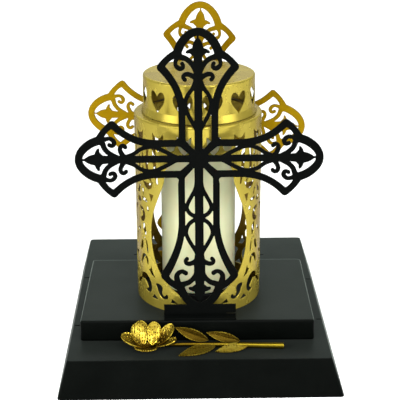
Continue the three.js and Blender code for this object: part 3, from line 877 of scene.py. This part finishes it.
# Lantern wall. Places are (distance round from the front, level), and a quarter is mirrored to four.
QUARTER = LANTERN_RADIUS * math.pi / 2
RIM = 1.2
WALL_TOP = SHOULDER - RIM
TULIPS = 14
WINDOW = (
    (0, 50.5), (10.4, 55), (17.8, 60), (27.3, 70), (31.7, 80), (33.8, 90), (34.4, 100), (33.8, 110),
    (31.6, 120), (28.3, 130), (25, 140), (24.3, 145), (23.4, 150), (20, 155.5), (13, 159.6),
    (6, 161.2), (0, 161.5),
)
PIERCED_LINES = (
    (((52.5, 62.3), (49, 64), (45.6, 63.6), (42.8, 61), (41.3, 57.5), (42.3, 54.8), (45, 54.2)),
     (1.4, 2.5, 3.1, 3, 2.3, 1.7, 1)),
    (((53.5, 60.5), (57, 58.2), (60, 54.5)), (0.8, 1.4, 1)),
    (((43.8, 75.6), (44.2, 78.6), (46.5, 80.3), (49, 79.8), (50.8, 77.2), (52.3, 73.8)),
     (1.2, 1.5, 1.4, 1.4, 1.5, 1.1)),
    (((44.7, 91.8), (44, 88.4), (43.4, 84.8)), (1, 1.1, 1)),
    (((44.6, 92.2), (46.4, 93.9), (48.4, 94.8)), (0.8, 0.6, 0.5)),
    (((50.2, 90.4), (51.4, 87.4), (53.6, 84)), (1.3, 1.9, 1)),
    (((47.8, 104.4), (47.2, 101.5), (46, 98.2)), (1.4, 2.3, 1.3)),
    (((53.5, 100.5), (56, 99), (58.5, 97)), (0.8, 1.3, 0.8)),
    (((53, 116.4), (49.4, 115.4), (47.6, 112), (48.8, 108.8), (52, 107.6)), (1.1, 1.8, 2.1, 1.9, 1.2)),
    (((42, 117.8), (42, 118.2)), (1.4, 1.4)),
    (((43.6, 123.7), (48.4, 124.4)), (1, 1.3)),
    (((52.4, 122.4), (54.4, 122.6), (56.4, 122.2)), (1.5, 1.9, 1.5)),
    (((48.6, 131), (47.6, 127.6)), (1.2, 0.9)),
    (((53, 133), (54.6, 129.4), (57.4, 127.6)), (0.9, 1.6, 0.8)),
    (((34.5, 163), (33.7, 150), (31.8, 139.5)), (1.9, 1.5, 0.8)),
    (((41.8, 162.5), (42.8, 155), (42.5, 149.5), (40.5, 144), (37.8, 139.8)), (1.8, 1.9, 1.8, 1.5, 0.7)),
    (((48.2, 161), (47.6, 154.5)), (1.2, 1.2)),
    (((47.4, 148), (48, 142.5)), (1.3, 1)),
    (((52.6, 154), (53.2, 145.5)), (1.5, 1.3)),
    (((33.2, 61.4), (31, 60), (30.8, 57.4), (29.6, 54.6), (27.3, 53), (25.2, 53.7), (24.8, 55)),
     (1.5, 2.5, 2, 1.4, 1.1, 1.3, 0.9)),
    (((62, 150), (63.5, 143), (61.5, 136), (58.5, 133)), (0.8, 2, 1.7, 0.7)),
    (((59.2, 160.5), (59.8, 154.5)), (1.2, 1.2)),
    (((66, 161.5), (67, 156.5)), (1, 1.3)),
    (((59.5, 116.5), (63, 113.4), (64, 108.8), (61.5, 105)), (0.8, 1.8, 1.9, 0.9)),
    (((68, 117.6), (68, 118.4)), (1.4, 1.4)),
    (((64.6, 125.4), (66, 127.6)), (1.3, 1.1)),
    (((60, 95), (61.6, 91), (60.4, 86.6)), (0.9, 1.8, 0.9)),
    (((66.4, 101), (66, 96.6)), (1, 1.2)),
    (((59.4, 80), (63.6, 77), (65, 72.4), (62, 69.4)), (0.8, 1.9, 1.9, 1)),
    (((56.4, 67.6), (57.4, 70.8)), (1, 1.3)),
    (((63.6, 63.4), (66.4, 60), (66, 55.6)), (1, 1.8, 0.9)),
    (((71.8, 155), (71.8, 144), (71.8, 132)), (0.5, 2.4, 0.5)),
    (((71.8, 104), (71.8, 92), (71.8, 80)), (0.5, 2.4, 0.5)),
    (((71.8, 72), (71.8, 66), (71.8, 60)), (0.6, 2, 0.6)),
)
PIERCED_AREAS = (
    ((35, 66.4), (39.5, 67.6), (42.2, 71), (40.4, 71.8), (39.4, 75), (37.8, 70.4)),
    ((35.6, 129.8), (38.4, 123.6), (40.6, 130)),
    ((35.8, 139.7), (38.5, 138), (43, 137.6), (48, 138.2), (45.2, 134.4), (41, 132.8), (37.4, 134.8)),
    ((32, 49.8), (38.8, 50), (36.2, 53.6)),
    ((15.6, 50), (21.4, 50.2), (20.4, 53.4)),
    ((65.8, 49.8), (70, 49.8), (68, 52.8)),
)
TULIP = ((0, 162.6), (3.2, 165.6), (4.6, 170), (4.9, 175.6), (2.6, 173.4), (0, 172.4))
LEAF_GAP = ((0, 164.4), (2.4, 165.6), (3.6, 168.2), (2.2, 168.6), (0, 169))


def both_sides(points, middle=0):
    """Outline made from its right half."""
    right = np.asarray(points, float)
    return np.vstack([right, right[::-1] * (-1, 1)]) + (middle, 0)


def lantern_quarter():
    """Outlines and inner points of a quarter of the pierced wall."""
    sheet = Sheet((0, STEP_TOP), (QUARTER, WALL_TOP), LANTERN_CELL, True)
    window = np.array(WINDOW)
    window[:, 0] = LANTERN_RADIUS * np.arcsin(window[:, 0] / LANTERN_RADIUS)
    sheet.cut(Area(both_sides(spline(window, 5))))
    for line, half in PIERCED_LINES:
        sheet.cut(Stroke(line, half))
    for outline in PIERCED_AREAS:
        sheet.cut(Area(outline))
    pitch = 4 * QUARTER / TULIPS
    for k in range(4):
        sheet.cut(Area(both_sides(spline(TULIP, 4), (k + 0.5) * pitch)))
        sheet.cut(Area(both_sides(spline(LEAF_GAP, 4), k * pitch)))
    loops = [divided(loop, 2.4) for loop in sheet.outlines()]
    return loops, sheet.spots(2.6, 1.1)


def lantern_piece():
    """Pierced wall and the ring turned in at its top."""
    def bent(flat, depth):
        turn = flat[:, 0] / LANTERN_RADIUS
        radius = LANTERN_RADIUS - depth
        return np.column_stack([radius * np.sin(turn), -radius * np.cos(turn), flat[:, 1]])

    points, faces = sheet_body(*lantern_quarter(), LANTERN_WALL, CUT_BEVEL, bent, seams=(0, QUARTER))
    bodies = []
    for sides in ((1, 1), (-1, 1), (1, -1), (-1, -1)):
        placed = points * (*sides, 1) + (0, AXIS_Y, 0)
        bodies.append((placed, faces if sides[0] == sides[1] else [face[::-1] for face in faces]))
    inner = LANTERN_RADIUS - LANTERN_WALL
    bend = [(LANTERN_RADIUS - RIM * (1 - math.cos(t)), WALL_TOP + RIM * math.sin(t))
            for t in QUARTER_TURN]
    ring = [
        (MOUTH_RADIUS, SHOULDER - LANTERN_WALL), (inner, SHOULDER - LANTERN_WALL), (inner, WALL_TOP), *bend,
        (MOUTH_RADIUS, SHOULDER),
    ]
    bodies.append(lathe(ring, 160, True))
    piece = new_object("lantern_body", bodies)
    weld(piece, 0.01)
    round_shading(piece)
    finish_piece(piece, LANTERN_GOLD, "lantern_body")


lantern_piece()


# Cap
def heart_tree():
    """Hearts cut round a wall."""
    tree = Tree("hearts_round_a_wall", {
        "Count": "NodeSocketInt", "Radius": "NodeSocketFloat", "Width": "NodeSocketFloat",
        "Height": "NodeSocketFloat", "Tip": "NodeSocketFloat", "Turn": "NodeSocketFloat",
        "Axis": "NodeSocketVector",
    })
    steps = 44
    circle = tree.out("GeometryNodeCurvePrimitiveCircle", {"Resolution": steps, "Radius": 1.0})
    index = tree.out("GeometryNodeInputIndex")
    angle = tree.math("MULTIPLY", index, 2 * math.pi / steps)
    across = tree.math("POWER", tree.math("ABSOLUTE", tree.math("SINE", angle)), 2.2)
    across = tree.math("MULTIPLY", across, tree.math("SIGN", tree.math("SINE", angle)))
    across = tree.math("MULTIPLY", across, tree.math("MULTIPLY", tree.inputs["Width"], 0.5))
    level = tree.math("MULTIPLY", tree.math("COSINE", angle), 13.0)
    for times, weight in ((2, 5.0), (3, 2.0), (4, 1.0)):
        wave = tree.math("COSINE", tree.math("MULTIPLY", angle, float(times)))
        level = tree.math("SUBTRACT", level, tree.math("MULTIPLY", wave, weight))
    level = tree.math("DIVIDE", tree.math("ADD", level, 17.0), 28.9)
    level = tree.math("ADD", tree.math("MULTIPLY", level, tree.inputs["Height"]), tree.inputs["Tip"])
    place = tree.out("ShaderNodeCombineXYZ", {0: across, 1: level})
    heart = tree.out("GeometryNodeSetPosition", {"Geometry": circle, "Position": place})
    face = tree.out("GeometryNodeFillCurve", {"Curve": heart}, mode="NGONS")
    inner = tree.out("ShaderNodeCombineXYZ", {1: tree.math("MULTIPLY", tree.inputs["Radius"], -0.85)})
    face = tree.out("GeometryNodeTransform", {
        "Geometry": face, "Translation": inner, "Rotation": (math.pi / 2, 0, 0)})
    reach = tree.out("ShaderNodeCombineXYZ", {1: tree.math("MULTIPLY", tree.inputs["Radius"], -0.3)})
    far = tree.out("GeometryNodeExtrudeMesh", {"Mesh": face, "Offset": reach, "Offset Scale": 1.0})
    turned_back = tree.out("GeometryNodeFlipFaces", {"Mesh": face})
    prism = tree.welded(far, turned_back, 1e-6)
    points = tree.out(
        "GeometryNodePoints", {"Count": tree.inputs["Count"], "Position": tree.inputs["Axis"]})
    share = tree.math("DIVIDE", tree.math("ADD", index, 0.5), tree.inputs["Count"])
    around = tree.math("ADD", tree.math("MULTIPLY", share, 2 * math.pi), tree.inputs["Turn"])
    spin = tree.out("ShaderNodeCombineXYZ", {2: around})
    hearts = tree.out(
        "GeometryNodeInstanceOnPoints", {"Points": points, "Instance": prism, "Rotation": spin})
    hearts = tree.out("GeometryNodeRealizeInstances", {"Geometry": hearts})
    tree.finish(tree.cut(hearts))
    return tree


def cap_piece():
    """Lid: a wall with hearts, a plain top with a rounded edge, and a foot that spreads a little."""
    wall, top, low = LANTERN_WALL, CAP_HIGH[2], CAP_LOW[2]
    edge = [(CAP_RADIUS - CAP_EDGE * (1 - math.sin(t)), top - CAP_EDGE * (1 - math.cos(t)))
            for t in QUARTER_TURN[::-1]]
    profile = [
        (0.5, top - wall), (CAP_RADIUS - wall, top - wall), (CAP_RADIUS - wall, low),
        (CAP_RADIUS + CAP_FLARE - 0.2, low), (CAP_RADIUS + CAP_FLARE, low + 0.2),
        (CAP_RADIUS, low + CAP_FOOT),
        *edge, (CAP_RADIUS - CAP_EDGE - 1, top), (0.5, top),
    ]
    piece = new_object("lantern_cap", [lathe(profile, 192, False)])
    heart_tree().apply(
        piece, LANTERN_GOLD.material, Count=HEART_COUNT, Radius=CAP_RADIUS * MM, Width=HEART_WIDTH * MM,
        Height=HEART_HEIGHT * MM, Tip=(SHOULDER + HEART_TIP) * MM, Turn=math.radians(CAP_TURN),
        Axis=(0, AXIS_Y * MM, 0))
    round_shading(piece)
    piece.data.transform(Matrix.Translation((CAP_OFFSET * MM, 0, 0)))
    finish_piece(piece, LANTERN_GOLD, "lantern_cap")


cap_piece()


# Candle and its seat
def turned_piece(node, profile, shader):
    """Piece turned round the lantern's axis."""
    piece = new_object(node, [lathe(profile, 128, False)])
    smooth(piece, 40)
    finish_piece(piece, shader, node)


CANDLE_RADIUS = (CANDLE_HIGH[0] - CANDLE_LOW[0]) / 2
SEAT_RADIUS = (SEAT_HIGH[0] - SEAT_LOW[0]) / 2
turned_piece("candle", (
    (0.4, CANDLE_LOW[2]), (CANDLE_RADIUS - 1.6, CANDLE_LOW[2]), (CANDLE_RADIUS - 0.9, CANDLE_LOW[2] + 0.1),
    (CANDLE_RADIUS - 0.2, CANDLE_LOW[2] + 0.7), (CANDLE_RADIUS, CANDLE_LOW[2] + 1.6),
    (CANDLE_RADIUS, CANDLE_HIGH[2] - 2.4), (CANDLE_RADIUS - 0.5, CANDLE_HIGH[2] - 0.9),
    (CANDLE_RADIUS - 1.6, CANDLE_HIGH[2]), (CANDLE_RADIUS - 2.6, CANDLE_HIGH[2] - 0.3),
    (CANDLE_RADIUS - 4.5, CANDLE_HIGH[2] - 1.7), (CANDLE_RADIUS - 9, CANDLE_HIGH[2] - 2.5),
    (0.4, CANDLE_HIGH[2] - 2.5),
), CANDLE_IVORY)
turned_piece("candle_seat", (
    (0.4, SEAT_LOW[2]), (SEAT_RADIUS - 0.4, SEAT_LOW[2]), (SEAT_RADIUS, SEAT_LOW[2] + 0.4),
    (SEAT_RADIUS, SEAT_HIGH[2] - 0.8), (SEAT_RADIUS - 0.8, SEAT_HIGH[2]), (0.4, SEAT_HIGH[2]),
), SEAT_BLACK)


# Base
def slot_tree():
    """Slots cut through a plate at the points of another object."""
    tree = Tree("slots_in_a_plate", {"Places": "NodeSocketObject", "Size": "NodeSocketVector"})
    places = tree.node("GeometryNodeObjectInfo", {"Object": tree.inputs["Places"]}).outputs["Geometry"]
    block = tree.out("GeometryNodeMeshCube", {"Size": tree.inputs["Size"]})
    slots = tree.out("GeometryNodeInstanceOnPoints", {"Points": places, "Instance": block})
    slots = tree.out("GeometryNodeRealizeInstances", {"Geometry": slots})
    tree.finish(tree.cut(slots))
    return tree


def points_object(name, points, **vectors):
    """Loose points that carry vectors."""
    made = new_object(name, [(points, [])])
    for label, values in vectors.items():
        layer = made.data.attributes.new(label, "FLOAT_VECTOR", "POINT")
        layer.data.foreach_set("vector", np.ravel(values))
    return made


def base_pieces():
    """Tray with its slots, and the step on it."""
    tray = new_object("base_tray", [folded_shell(
        (TRAY_HIGH[:2] - TRAY_LOW[:2]) / 2, TRAY_TOP_HALF, TRAY_LOW[2], TRAY_TOP, 2.5, TRAY_FOLD,
        TRAY_FLANGE, (0, 0))])
    lean = Matrix.Identity(4)
    lean[0][2] = TRAY_LEAN
    lean[0][3] = -TRAY_LEAN * TRAY_FOLD * MM
    tray.data.transform(lean)
    places = points_object("slot_places", [(x, y, TRAY_TOP) for x, y in SLOT_PLACES])
    slot_tree().apply(
        tray, BASE_BLACK.material, Places=places, Size=tuple(side * MM for side in SLOT_SIZE))
    bpy.data.objects.remove(places)
    smooth(tray, 30)
    finish_piece(tray, BASE_BLACK, "base_tray")
    half = (STEP_HIGH[:2] - STEP_LOW[:2]) / 2
    middle = (STEP_HIGH[:2] + STEP_LOW[:2]) / 2
    step = new_object(
        "upper_step", [folded_shell(half, half, STEP_LOW[2], STEP_TOP, 1.5, STEP_FOLD, SHEET + 2.5, middle)])
    middle = Vector((*middle, 0)) * MM
    aside = Matrix.Translation(middle + Vector((*STEP_SHIFT, 0)) * MM)
    turn = Matrix.Rotation(math.radians(STEP_TURN), 4, "Z")
    step.data.transform(aside @ turn @ Matrix.Translation(-middle))
    smooth(step, 30)
    finish_piece(step, BASE_BLACK, "upper_step")


base_pieces()


# Rose
# Each petal's inner value is painted shade for how the light falls on it; below zero it takes away the
# painted shade of its tone
PETALS = (
    {"base": (-37, -96.4, 28.8), "tip": (-56, -90, 35), "width": 12, "roll": -12, "inner": 0.55},
    {"base": (-40.6, -90, 30.5), "tip": (-43.6, -84.2, 44.2), "width": 11.5, "roll": 0, "inner": 0.3},
    {"base": (-41, -94.5, 29.2), "tip": (-46.2, -86.6, 42.8), "width": 11.5, "roll": -8, "inner": -0.1},
    {"base": (-33.2, -93.8, 29.8), "tip": (-31.7, -86.2, 44.2), "width": 11.2, "roll": 0, "inner": -0.6},
    {"base": (-29.5, -93.6, 29.6), "tip": (-18.6, -86.4, 41.4), "width": 10, "roll": 14, "inner": 0.45},
    {"base": (-31.5, -96.8, 28.9), "tip": (-16.4, -93.2, 32.8), "width": 8.5, "roll": 4, "inner": 0.5},
    {"base": (-37.6, -92.5, 29.2), "tip": (-38.8, -105.2, 29.2), "width": 17.5, "roll": 0, "inner": 0.7},
    {"base": (-34.4, -95, 28.9), "tip": (-28.2, -98.4, 35), "width": 9, "roll": 8, "inner": 0.6},
)
PETAL_CUP, ROSE_SHEET = 0.1, 0.6
STEM_LINE = ((-25, -92.6, 29.2), (-8, -92.8, 29.4), (18, -94.2, 29.6), (42, -96, 29.7), (58.7, -97, 29.7))
# Each leaf's inner value is painted shade for how the light falls on it
LEAVES = (
    {"base": (5.9, -89.2, 30.8), "tip": (-17.7, -85, 39), "width": 8, "roll": -82, "inner": 0.95},
    {"base": (28.3, -89.8, 30.2), "tip": (4.4, -85.8, 35.2), "width": 7.2, "roll": -80, "inner": 0.88},
    {"base": (10.6, -96.6, 29.6), "tip": (-15.4, -108.6, 28.6), "width": 9.5, "roll": -14, "inner": 0.6},
    {"base": (34, -95.6, 29.6), "tip": (10.4, -103.2, 28.6), "width": 8.5, "roll": -16, "inner": 0},
)


def square_grid(steps):
    """Points of a square from -1 to 1 and its faces."""
    line = np.linspace(-1, 1, steps + 1)
    x, y = (axis.ravel() for axis in np.meshgrid(line, line))
    row = steps + 1
    faces = [(j * row + i, j * row + i + 1, j * row + i + row + 1, j * row + i + row)
             for j in range(steps) for i in range(steps)]
    return x, y, faces


def petal_form():
    """Oval spoon with a raised rim, one unit long and wide, from its narrow end at the flower's middle."""
    x, y, faces = square_grid(72)
    along, across = x * np.sqrt(1 - y ** 2 / 2), y * np.sqrt(1 - x ** 2 / 2)
    reach = np.hypot(along, across)
    rim = np.clip((reach - 0.86) / 0.08, 0, 1) ** 2
    points = np.column_stack([
        0.5 * (1 + along), 0.5 * across * (0.94 + 0.1 * along), PETAL_CUP * reach ** 2 + 0.035 * rim])
    # Tone: painted shade towards the narrow base, painted highlight along the rim
    return points / MM, faces, np.clip(0.35 - along, 0, 1) - 0.7 * rim


def leaf_form():
    """Pointed leaf folded along its middle, one unit long and wide."""
    x, y, faces = square_grid(40)
    along = (x + 1) / 2
    half = 0.5 * np.sin(np.pi * along ** 0.85) ** 0.95 + 0.012
    bend = 0.03 * np.sin(np.pi * along)
    points = np.column_stack([along, y * half, 0.05 * np.abs(y) * half * 2 - 0.05 * half + bend])
    # Tone: painted highlight along the edges
    return points / MM, faces, -np.clip((np.abs(y) - 0.85) / 0.1, 0, 1)


def form_object(name, form):
    """Object of a form, with the tone of each point: painted shade above zero, and below zero a painted
    highlight that takes the shade away.
    """
    made = new_object(name, [form[:2]])
    mark(made, "tone", form[2])
    return made


def blade_tree():
    """Blades of one form set on points, dimpled all over and given a thickness."""
    tree = Tree("blades_on_points", {
        "Form": "NodeSocketObject", "Dimple scale": "NodeSocketFloat", "Dimple depth": "NodeSocketFloat",
        "Sheet": "NodeSocketFloat",
    })
    form = tree.node("GeometryNodeObjectInfo", {"Object": tree.inputs["Form"]}).outputs["Geometry"]
    spin = tree.out("GeometryNodeInputNamedAttribute", {"Name": "spin"}, data_type="FLOAT_VECTOR")
    size = tree.out("GeometryNodeInputNamedAttribute", {"Name": "size"}, data_type="FLOAT_VECTOR")
    blades = tree.out("GeometryNodeInstanceOnPoints", {
        "Points": tree.inputs["Geometry"], "Instance": form, "Rotation": spin, "Scale": size})
    blades = tree.out("GeometryNodeRealizeInstances", {"Geometry": blades})
    cells = tree.node(
        "ShaderNodeTexVoronoi",
        {"Scale": tree.inputs["Dimple scale"], "Randomness": DIMPLE_SPREAD}).outputs["Distance"]
    dimple = tree.out("ShaderNodeMapRange", {0: cells, 1: 0.12, 2: 0.4, 3: -1.0, 4: 0.0})
    depth = tree.math("MULTIPLY", dimple, tree.inputs["Dimple depth"])
    normal = tree.out("GeometryNodeInputNormal")
    offset = tree.out("ShaderNodeVectorMath", {0: normal, "Scale": depth}, operation="SCALE")
    blades = tree.out("GeometryNodeSetPosition", {"Geometry": blades, "Offset": offset})
    under = tree.out("GeometryNodeFlipFaces", {"Mesh": blades})
    thick = tree.out("GeometryNodeExtrudeMesh", {
        "Mesh": blades, "Offset Scale": tree.inputs["Sheet"], "Individual": False})
    tree.finish(tree.welded(thick, under, 1e-7))
    return tree


def rod_tree():
    """Round rod along a line of points, thinner at one end."""
    tree = Tree("rod_along_a_line", {"Thin": "NodeSocketFloat", "Thick": "NodeSocketFloat"})
    line = tree.out("GeometryNodeMeshToCurve", {"Mesh": tree.inputs["Geometry"]})
    line = tree.out("GeometryNodeCurveSplineType", {"Curve": line}, spline_type="CATMULL_ROM")
    line = tree.out("GeometryNodeResampleCurve", {"Curve": line, "Count": 48})
    share = tree.node("GeometryNodeSplineParameter").outputs["Factor"]
    radius = tree.out("ShaderNodeMapRange", {0: share, 3: tree.inputs["Thin"], 4: tree.inputs["Thick"]})
    line = tree.out("GeometryNodeSetCurveRadius", {"Curve": line, "Radius": radius})
    profile = tree.out("GeometryNodeCurvePrimitiveCircle", {"Resolution": 20, "Radius": 1.0})
    rod = tree.out("GeometryNodeCurveToMesh", {
        "Curve": line, "Profile Curve": profile, "Scale": radius, "Fill Caps": True})
    tree.finish(rod)
    return tree


def blade_turn(base, tip, roll):
    """Turn that lays a form's length from a base towards a tip, rolled about that line."""
    run = Vector(tip) - Vector(base)
    level = Matrix.Rotation(math.atan2(run.y, run.x), 3, "Z")
    raise_up = Matrix.Rotation(-math.atan2(run.z, math.hypot(run.x, run.y)), 3, "Y")
    lean = Matrix.Rotation(math.radians(roll), 3, "X")
    return tuple((level @ raise_up @ lean).to_euler()), run.length


def blades_object(name, forms):
    """Points at the bases of blades, with the turn and size of each, and the painted shade of each as its
    inner value.
    """
    spins, sizes = [], []
    for form in forms:
        spin, length = blade_turn(form["base"], form["tip"], form["roll"])
        spins.append(spin)
        sizes.append((length * MM, form["width"] * MM, 12 * MM))
    piece = points_object(name, [form["base"] for form in forms], spin=spins, size=sizes)
    mark(piece, "inner", [form["inner"] for form in forms])
    return piece


def rose_pieces():
    """Flower of dimpled petals, stem and leaves."""
    blades = blade_tree()
    petal = form_object("petal_form", petal_form())
    flower = blades_object("rose_flower", PETALS)
    blades.apply(
        flower, ROSE_GOLD.material, Form=petal, Sheet=ROSE_SHEET * MM,
        **{"Dimple scale": float(DIMPLE_SCALE), "Dimple depth": 0.4 * MM})
    smooth(flower, 60)
    finish_piece(flower, ROSE_GOLD, "rose_flower")
    leaf = form_object("leaf_form", leaf_form())
    for number, form in enumerate(LEAVES, 1):
        piece = blades_object(f"rose_leaf_{number}", [form])
        blades.apply(
            piece, ROSE_GOLD.material, Form=leaf, Sheet=ROSE_SHEET * MM,
            **{"Dimple scale": 500.0, "Dimple depth": 0.06 * MM})
        smooth(piece, 50)
        finish_piece(piece, ROSE_GOLD, f"rose_leaf_{number}")
    for form in (petal, leaf):
        bpy.data.objects.remove(form)
    stem = new_object("rose_stem", [(STEM_LINE, [])])
    stem.data.edges.add(len(STEM_LINE) - 1)
    stem.data.edges.foreach_set("vertices", [k + d for k in range(len(STEM_LINE) - 1) for d in (0, 1)])
    rod_tree().apply(stem, STEM_GOLD.material, Thin=1.1 * MM, Thick=2.2 * MM)
    smooth(stem, 50)
    places = [vertex.co.x for vertex in stem.data.vertices]
    # Painted shade along the stem: full at the flower end, none at the far end
    painted_shade = np.interp(places, (STEM_LINE[0][0] * MM, STEM_LINE[-1][0] * MM), (1, 0))
    mark(stem, "inner", painted_shade)
    finish_piece(stem, STEM_GOLD, "rose_stem")


rose_pieces()


# Floor, light and camera
def stage():
    """Pale floor, a bright surround and four soft lamps."""
    floor = new_object("floor", [([(-9000, -9000, 0), (9000, -9000, 0), (9000, 9000, 0), (-9000, 9000, 0)],
                                  [(0, 1, 2, 3)])])
    pale = Shader("floor_pale", None, Roughness=0.9, Specular_IOR_Level=0.1)
    clouds = pale.effect(CLOUDS, 3, 0.3, 0.7)
    pale.colours(clouds, (0.9, 0.9, 0.9), (0.92, 0.92, 0.92))
    floor.data.materials.append(pale.material)
    surround()
    for name, place, target, size, power in (
        ("lamp_behind", (0, 1300, 1200), (0, 1300, 0), 900, 16),
        ("lamp_left", (-1400, -850, 700), (0, 0, 100), 900, 15),
        ("lamp_right", (1400, -850, 700), (0, 0, 100), 900, 15),
        ("lamp_above", (0, -620, 700), (0, -620, 0), 650, 20),
    ):
        light = bpy.data.lights.new(name, "AREA")
        light.size = size * MM
        light.energy = power
        lamp = bpy.data.objects.new(name, light)
        lamp.location = Vector(place) * MM
        lamp.rotation_euler = (Vector(target) - Vector(place)).to_track_quat("-Z", "Y").to_euler()
        bpy.context.scene.collection.objects.link(lamp)


def surround():
    """Soft light from all round, brighter in front of the object and behind it."""
    world = bpy.data.worlds.new("surround")
    world.use_nodes = True
    nodes = Nodes(world.node_tree)
    place = nodes.node("ShaderNodeTexCoord").outputs["Generated"]
    depth = nodes.node("ShaderNodeSeparateXYZ", {0: place}).outputs["Y"]
    share = nodes.out("ShaderNodeMapRange", {0: depth, 1: -1.0})
    ramp = nodes.node("ShaderNodeValToRGB", {0: share})
    stops = ramp.color_ramp.elements
    stops[0].color = (1.6, 1.6, 1.5, 1)
    stops[1].color = (1.3, 1.55, 1.45, 1)
    for place_on_ramp in (0.3, 0.6):
        stops.new(place_on_ramp).color = (0.12, 0.125, 0.115, 1)
    world.node_tree.links.new(ramp.outputs[0], world.node_tree.nodes["Background"].inputs[0])
    bpy.context.scene.world = world


def camera():
    """Camera in front of the light and above it."""
    pitch, yaw, roll = 0.349, 0.014, 0.005
    ahead = Vector((math.sin(yaw) * math.cos(pitch), math.cos(yaw) * math.cos(pitch), -math.sin(pitch)))
    lens = bpy.data.cameras.new("camera")
    lens.lens = 99.48
    lens.sensor_width = 36
    lens.shift_x = 0.0047
    eye = bpy.data.objects.new("camera", lens)
    eye.location = Vector((-10.78, -792.1, 392.4)) * MM
    turn = ahead.to_track_quat("-Z", "Y").to_matrix() @ Matrix.Rotation(-roll, 3, "Z")
    eye.rotation_euler = turn.to_euler()
    bpy.context.scene.collection.objects.link(eye)
    bpy.context.scene.camera = eye
    bpy.context.scene.view_settings.view_transform = "Standard"


stage()
camera()
